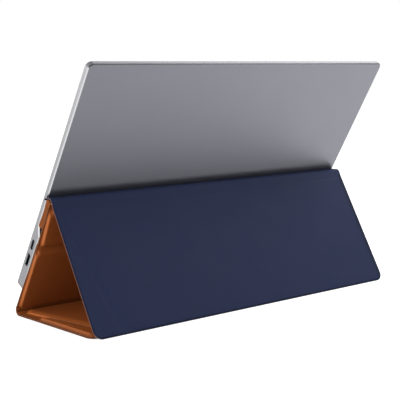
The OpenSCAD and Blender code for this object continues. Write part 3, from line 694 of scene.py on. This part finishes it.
def make_floor_panel():
    span = (FRONT_JOIN, floor_end)
    skin = panel("floor_skin", on_floor, span, True, floor_crease, flat_faces(0, SKIN))
    lining = panel("floor_leather", on_floor, span, True, floor_crease,
                   lining_faces(floor_swell, 1.0), painted_shade=(0.6, 2.0))
    dress(skin, "navy_leather", "dark_edge", "floor_outer_skin")
    dress(lining, "brown_leather", "brown_leather", "floor_lining")
    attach(skin, "floor_panel")
    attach(lining, "floor_panel")


def wall_recess(s):
    """How far the wall's sides stand back at that height, behind the monitor."""
    return RECESS * soft_step(s, 22, 62) - RECESS_EASE * soft_step(s, 92, 104)


def make_wall_panel():
    span = (FRONT_JOIN, wall_top)
    skin = panel("wall_skin", on_wall, span, False, None, skin_faces(wall_swell, 2.0, WALL_PROUD),
                 edge_r=0.5, band=2.5, recess=wall_recess)
    lining = panel("wall_leather", on_wall, span, False, None, lining_faces(wall_swell, 2.6),
                   edge_r=0.35, recess=wall_recess, swollen=wall_swell)
    dress(skin, "navy_leather", "dark_edge", "wall_outer_skin")
    dress(lining, "brown_leather", "dark_edge", "wall_lining", "wall_high_board")
    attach(skin, "monitor_wall")
    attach(lining, "monitor_wall")


def blend_over_crease(obj):
    """Bakes the sheet's placement into its mesh; the direction along the slanting crease is worked
    out but not used, and the flap beyond it does not turn with a corner body.
    """
    crease_top = on_rear(rear_crease(0), 0, 0)
    crease_foot = on_rear(rear_crease(REAR_LEN), 0, REAR_LEN)
    along = Vector(crease_foot - crease_top).normalized()
    face = Vector(on_rear(0, 1, 0) - on_rear(0, 0, 0)).normalized()
    across = along.cross(face)
    if across.x < 0:
        across = -across
    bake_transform(obj)


def turned_under(x, z):
    """The rear skin's faces, with its inner face thickened where it is turned under."""
    outer, inner = skin_faces(rear_swell, 3.1)(x, z)
    foot = np.clip((z - rear_end + TURNED) / TURNED_SLOPE + 1, 0, 1)
    return outer, inner + (SHEET - SKIN) * foot


def make_rear_panel():
    skin = panel("rear_skin", on_rear, (REAR_JOIN, rear_end), True, rear_crease, turned_under,
                 edge_r=TURNED_R, swollen=rear_swell, painted_shade=(0.8, 1.6), shade_by_side=(0.28, 1.4))
    lining = panel("rear_leather", on_rear, (REAR_JOIN + LINING_START, rear_end - TURNED), True,
                   rear_crease, lining_faces(rear_swell, 3.7), corner_r=FREE_R - TURNED)
    blend_over_crease(dress(skin, "navy_leather", "navy_edge", "rear_outer_skin",
                            "corner_outer_skin"))
    blend_over_crease(dress(lining, "brown_leather", "navy_edge", "rear_lining",
                            "corner_lining"))


# ------------------------------------------------------------------ the rolled folds


def fold_strip(name, path, y0, y1, step=FOLD_STEP, shade_line_at=None):
    """The whole path at the depths y0 to y1, with painted shade across it about the given distance
    along it.
    """
    u = np.linspace(0, path.length, max(8, int(path.length / step)))
    near, half = near_lines(CUT_R), np.full(u.shape, HALF_W)
    x = np.stack(lines_between(-half, half, near, near, FOLD_COLUMNS), axis=1)
    u = np.repeat(u[:, None], x.shape[1], axis=1)
    dip = edge_dip(np.maximum(HALF_W - np.abs(x), 0), CUT_R)
    marks = {"painted_shade": 1 - soft_step(np.abs(u - shade_line_at), *CREASE_SHADE_SPAN)} if shade_line_at else None
    return sheet_mesh(name, path.place, u, x, y0 + dip, y1 - dip, marks=marks)


def make_top_fold():
    """The skin comes up over the rear panel, rolls over and lies flat on the upper pad."""
    spine_z = top_axis.z + TOP_R
    # The front edge turns down against the monitor's back
    shoulder_z = spine_z - SHOULDER_R
    s = (shoulder_z + HIGH_PAD_O * math.sin(lean)) / math.cos(lean)
    start = on_wall(0, HIGH_PAD_O, s) / MM + np.array([0, SHOULDER_GAP, 0])
    run = top_axis.y - start[1] - SHOULDER_R
    turn = math.pi / 2 - rear_lean
    path = Path((start[1], shoulder_z), math.pi / 2, -1).arc(SHOULDER_R, -math.pi / 2)
    path.run(run).arc(TOP_R, -turn)
    # Distance down the rear panel from the end of the roll to the join
    roll_end = path.at.copy()
    down = np.array([math.sin(rear_lean), -math.cos(rear_lean)])
    join = (on_rear(0, 0, REAR_JOIN) / MM)[1:]
    path.run(float((join - roll_end) @ down))
    skin = fold_strip("top_fold_skin", path, 0, SKIN)
    dress(skin, "navy_leather", "navy_edge", "top_fold")
    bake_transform(skin)
    # The lining runs from the wall over a tight inner roll onto the rear panel
    tangent = TOP_INNER_R / math.tan(top_angle / 2)
    inner_apex = SHEET / math.tan(top_angle / 2)
    begin = on_wall(0, SHEET, WALL_LEN - inner_apex - tangent - WALL_RUN) / MM
    heading = math.pi / 2 - lean
    inner = Path((begin[1], begin[2]), heading, 1).run(WALL_RUN)
    roll_start = inner.at.copy()
    inner.arc(TOP_INNER_R, -(math.pi - top_angle))
    roll_stop = inner.at.copy()
    join = (on_rear(0, SHEET, REAR_JOIN + LINING_START) / MM)[1:]
    inner.run(float((join - roll_stop) @ down))
    lining = fold_strip("top_fold_leather", inner, 0, LINING, step=0.3)
    dress(lining, "brown_leather", "brown_edge")
    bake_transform(lining)


def make_front_fold():
    """Skin and lining roll together from the floor panel up into the front wall."""
    begin = on_floor(0, 0, FRONT_JOIN) / MM
    turn = math.pi - front_angle
    straight = FRONT_JOIN - front_tangent
    path = Path((begin[1], begin[2]), math.pi, -1).run(straight)
    low = path.at.copy()
    path.arc(FRONT_R, -turn)
    high = path.at.copy()
    path.run(straight)
    # Painted shade along the fold's crease
    fold_line = CREASE_SHADE_AT * path.length
    skin = dress(fold_strip("front_fold_skin", path, 0, SKIN, shade_line_at=fold_line),
                 "navy_leather", "dark_edge", "front_fold")
    lining = dress(fold_strip("front_fold_leather", path, SKIN, SHEET, shade_line_at=fold_line),
                   "brown_leather", "brown_edge")
    for obj in (skin, lining):
        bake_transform(obj)


make_floor_panel()
make_wall_panel()
make_rear_panel()
make_top_fold()
make_front_fold()


# ------------------------------------------------------------------ pads behind the monitor


def rounded_outline(corners, radius, step):
    """Points at about that step along a polygon with rounded corners, as an array of y and z."""
    corners = [np.array(c, float) for c in corners]
    points = []
    for k, corner in enumerate(corners):
        before = corners[k - 1] - corner
        after = corners[(k + 1) % len(corners)] - corner
        before, after = before / np.linalg.norm(before), after / np.linalg.norm(after)
        half = math.acos(float(before @ after)) / 2
        reach = radius / math.tan(half)
        inwards = (before + after) / np.linalg.norm(before + after)
        centre = corner + inwards * radius / math.sin(half)
        a, b = corner + before * reach - centre, corner + after * reach - centre
        count = 5
        for i in range(count + 1):
            f = i / count
            spot = a * (1 - f) + b * f
            points.append(centre + spot / np.linalg.norm(spot) * radius)
    closed = np.array(points + points[:1])
    lengths = np.concatenate([[0], np.cumsum(np.linalg.norm(np.diff(closed, axis=0), axis=1))])
    at = np.linspace(0, lengths[-1], int(lengths[-1] / step), endpoint=False)
    return np.stack([np.interp(at, lengths, closed[:, 0]), np.interp(at, lengths, closed[:, 1])], 1)


def lofted_pad(name, outline, x0, x1, round_r, step):
    """A closed pad: the outline in the wall's frame drawn along x, with rounded ends."""
    middle = (outline.min(0) + outline.max(0)) / 2
    half = (outline.max(0) - outline.min(0)) / 2
    # From the middle of an end face outwards: how far each ring is inset and how far it bulges
    caps = ((0.02, 1.0), (0.3, 0.75), (0.55, 0.5), (0.8, 0.2))
    end = [(round_r + (1 - share) * (min(half) - round_r), 0.3 * lift) for share, lift in caps]
    angles = [math.pi / 2 * (1 - a / 5) for a in range(6)]
    end += [(round_r * (1 - math.cos(a)), -round_r * (1 - math.sin(a))) for a in angles]
    body = np.linspace(x0 + round_r, x1 - round_r, int((x1 - x0) / step))[1:-1]
    rings = ([(x0 - lift, inset) for inset, lift in end] + [(x, 0.0) for x in body]
             + [(x1 + lift, inset) for inset, lift in reversed(end)])
    points, n = [], len(outline)
    for x, inset in rings:
        ring = middle + (outline - middle) * (1 - inset / half)
        points.append(on_wall(np.full(n, x), ring[:, 0], ring[:, 1]))
    points = np.concatenate(points)
    faces = [(r * n + k, r * n + (k + 1) % n, (r + 1) * n + (k + 1) % n, (r + 1) * n + k)
             for r in range(len(rings) - 1) for k in range(n)]
    faces += [tuple(range(n)), tuple(range((len(rings) - 1) * n, len(rings) * n))]
    return add_mesh(name, points, faces)


def coordinates(mesh):
    co = np.empty(len(mesh.vertices) * 3)
    mesh.vertices.foreach_get("co", co)
    return co.reshape(-1, 3)


def puff(obj, pressure, cap):
    """Blows the closed mesh up as cloth and keeps at most cap of the movement."""
    scene = bpy.context.scene
    cloth = obj.modifiers.new("puff", "CLOTH")
    s = cloth.settings
    s.quality = 6
    s.mass = 0.3
    s.tension_stiffness = s.compression_stiffness = s.shear_stiffness = 8
    s.bending_stiffness = 0.4
    s.use_pressure = True
    s.uniform_pressure_force = pressure
    s.effector_weights.gravity = 0
    for number in range(1, PUFF_FRAMES + 1):
        scene.frame_set(number)
    shown = obj.evaluated_get(bpy.context.evaluated_depsgraph_get())
    before, after = coordinates(obj.data), coordinates(shown.data)
    obj.modifiers.remove(cloth)
    scene.frame_set(1)
    move = after - before
    size = np.linalg.norm(move, axis=1, keepdims=True)
    move *= np.minimum(1, cap * MM / np.maximum(size, 1e-9))
    obj.data.vertices.foreach_set("co", (before + move).ravel())
    obj.data.update()


def keep_between(obj, y0, y1, z0, top_z):
    """Presses the pad flat where it meets the monitor, the wall and the spine of the cover.

    A pad that is deeper than the low one follows the step in the monitor's back.
    """
    co = coordinates(obj.data) / MM
    y, z = co[:, 1] - front_y, co[:, 2]
    o = y * math.cos(lean) - z * math.sin(lean)
    s = y * math.sin(lean) + z * math.cos(lean)
    s = np.maximum(s, z0)
    front = y0
    if y0 < -LOW_PAD_T:
        step = np.array([SLOPE_FOOT, SLOPE_HEAD]), np.array([-LOW_PAD_T, HIGH_PAD_O]) + SLOPE_CLEAR
        front = np.maximum(y0, np.interp(s, *step))
    o = np.clip(o, front, y1)
    s = np.minimum(s, (top_z + o * math.sin(lean)) / math.cos(lean))
    obj.data.vertices.foreach_set("co", on_wall(co[:, 0], o, s).ravel())
    obj.data.update()


def make_pads():
    spine_under = top_axis.z + TOP_R - SKIN

    def top(o):
        """Height along the wall at which the depth o meets the underside of the spine."""
        return (spine_under + o * math.sin(lean)) / math.cos(lean)

    d = PAD_START
    back, wall, foot = HIGH_PAD_O, 0.0, HIGH_PAD_S
    reach = HALF_W - 0.2
    corners = [(back + d, foot + d), (wall - d, foot + d), (wall - d, top(wall) - d - 0.2),
               (back + d, top(back) - d)]
    outline = rounded_outline(corners, radius=1.7, step=1.2)
    high = lofted_pad("upper_pad", outline, -reach + d, reach - d, round_r=1.5, step=2.2)
    puff(high, 4, PAD_START + 0.35)
    keep_between(high, back + 0.02, wall - 0.02, foot - 0.3, spine_under - 0.02)
    d = LOW_PAD_START
    front, foot, head = -LOW_PAD_T + d, LOW_PAD_FOOT + d, LOW_PAD_TOP - d
    corners = [(front, foot), (-d, foot), (-d, head), (front, head)]
    outline = rounded_outline(corners, radius=0.6, step=1.1)
    low = lofted_pad("lower_pad", outline, -LOW_PAD_HALF + d, LOW_PAD_HALF - d, round_r=0.6,
                     step=3.0)
    puff(low, 2, d + 0.1)
    keep_between(low, -LOW_PAD_T + 0.01, -0.01, LOW_PAD_FOOT - 0.2, 90)
    for obj, node, fill in ((high, "high_pad", 0.9), (low, "low_pad", 1.0)):
        soft = obj.modifiers.new("smooth", "SUBSURF")
        soft.levels = soft.render_levels = 1
        obj.data.materials.append(materials["pad_leather"])
        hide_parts(node)
        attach(obj, "monitor_wall")


make_pads()


# ------------------------------------------------------------------ stage, light and camera


CAMERA_AT = (0.55998, 0.63234, 0.186195)
CAMERA_ANGLES = (139.072, 7.088, -0.529)       # azimuth, elevation and roll in degrees
SENSOR, FOCAL_PX, PICTURE_PX = 36, 1024.77, 400
FLOOR_GLOW = 0.66
WORLD_LIGHT, WORLD_SEEN = 0.6, 1.0     # on the object, and for the rays that see the backdrop
LAMP_TARGET = (0, 0, 0.08)


def add_camera():
    azimuth, elevation, roll = (math.radians(a) for a in CAMERA_ANGLES)
    back = Vector((math.sin(azimuth) * math.cos(elevation),
                   -math.cos(azimuth) * math.cos(elevation), math.sin(elevation)))
    right = (-back).cross(Vector((0, 0, 1))).normalized()
    up = right.cross(-back)
    right, up = (right * math.cos(roll) + up * math.sin(roll),
                 up * math.cos(roll) - right * math.sin(roll))
    data = bpy.data.cameras.new("camera")
    camera = bpy.data.objects.new("camera", data)
    bpy.context.scene.collection.objects.link(camera)
    data.sensor_width = SENSOR
    data.lens = SENSOR * FOCAL_PX / PICTURE_PX
    data.clip_start, data.clip_end = 0.05, 30
    place = Matrix((right, up, back)).transposed().to_4x4()
    place.translation = Vector(CAMERA_AT)
    camera.matrix_world = place
    bpy.context.scene.camera = camera


def backdrop_rays(tree):
    """1 for the rays that see the backdrop straight, in a mirror or through glass."""
    seen = tree.nodes.new("ShaderNodeLightPath")
    found = seen.outputs["Is Camera Ray"]
    for key in ("Is Glossy Ray", "Is Transmission Ray"):
        either = tree.nodes.new("ShaderNodeMath")
        either.operation = "MAXIMUM"
        tree.links.new(found, either.inputs[0])
        tree.links.new(seen.outputs[key], either.inputs[1])
        found = either.outputs[0]
    return found


def add_floor():
    """A plain floor that looks white to the camera and keeps the object's shadow."""
    mesh = bpy.data.meshes.new("studio_floor")
    size = 6.0
    mesh.from_pydata([(-size, -size, 0), (size, -size, 0), (size, size, 0), (-size, size, 0)], [],
                     [(0, 1, 2, 3)])
    floor = bpy.data.objects.new("studio_floor", mesh)
    bpy.context.scene.collection.objects.link(floor)
    m = make_material("studio_floor", (0.6, 0.6, 0.6), 0.9)
    tree = m.node_tree
    glow = tree.nodes.new("ShaderNodeEmission")
    glow.inputs["Color"].default_value = (1, 1, 1, 1)
    strength = tree.nodes.new("ShaderNodeMath")
    strength.operation = "MULTIPLY"
    strength.inputs[1].default_value = FLOOR_GLOW
    tree.links.new(backdrop_rays(tree), strength.inputs[0])
    tree.links.new(strength.outputs[0], glow.inputs["Strength"])
    add = tree.nodes.new("ShaderNodeAddShader")
    tree.links.new(tree.nodes["Principled BSDF"].outputs[0], add.inputs[0])
    tree.links.new(glow.outputs[0], add.inputs[1])
    tree.links.new(add.outputs[0], tree.nodes["Material Output"].inputs["Surface"])
    mesh.materials.append(m)


def add_world():
    world = bpy.data.worlds.new("studio")
    bpy.context.scene.world = world
    world.use_nodes = True
    tree = world.node_tree
    strength = tree.nodes.new("ShaderNodeMapRange")
    strength.inputs["To Min"].default_value = WORLD_LIGHT
    strength.inputs["To Max"].default_value = WORLD_SEEN
    tree.links.new(backdrop_rays(tree), strength.inputs["Value"])
    ground = tree.nodes["Background"]
    ground.inputs["Color"].default_value = (1, 1, 1, 1)
    tree.links.new(strength.outputs["Result"], ground.inputs["Strength"])


def add_lamp(name, at, target, size, power):
    data = bpy.data.lights.new(name, "AREA")
    data.shape, data.size, data.energy = "DISK", size, power
    lamp = bpy.data.objects.new(name, data)
    bpy.context.scene.collection.objects.link(lamp)
    lamp.location = at
    lamp.rotation_euler = (Vector(at) - Vector(target)).to_track_quat("Z", "Y").to_euler()


add_camera()
add_floor()
add_world()
add_lamp("side_lamp", (1.7, -1.7, 0.45), LAMP_TARGET, 1.6, 20)
add_lamp("open_side_lamp", (2.1, 0.3, 0.35), LAMP_TARGET, 1.0, 42)
add_lamp("rear_lamp", (-0.7, 0.35, 0.75), (-0.3, 0.1, 0), 0.8, 9.5)
add_lamp("top_lamp", (-1.5, -0.6, 1.6), LAMP_TARGET, 1.2, 10)
bpy.context.scene.view_settings.view_transform = "Standard"
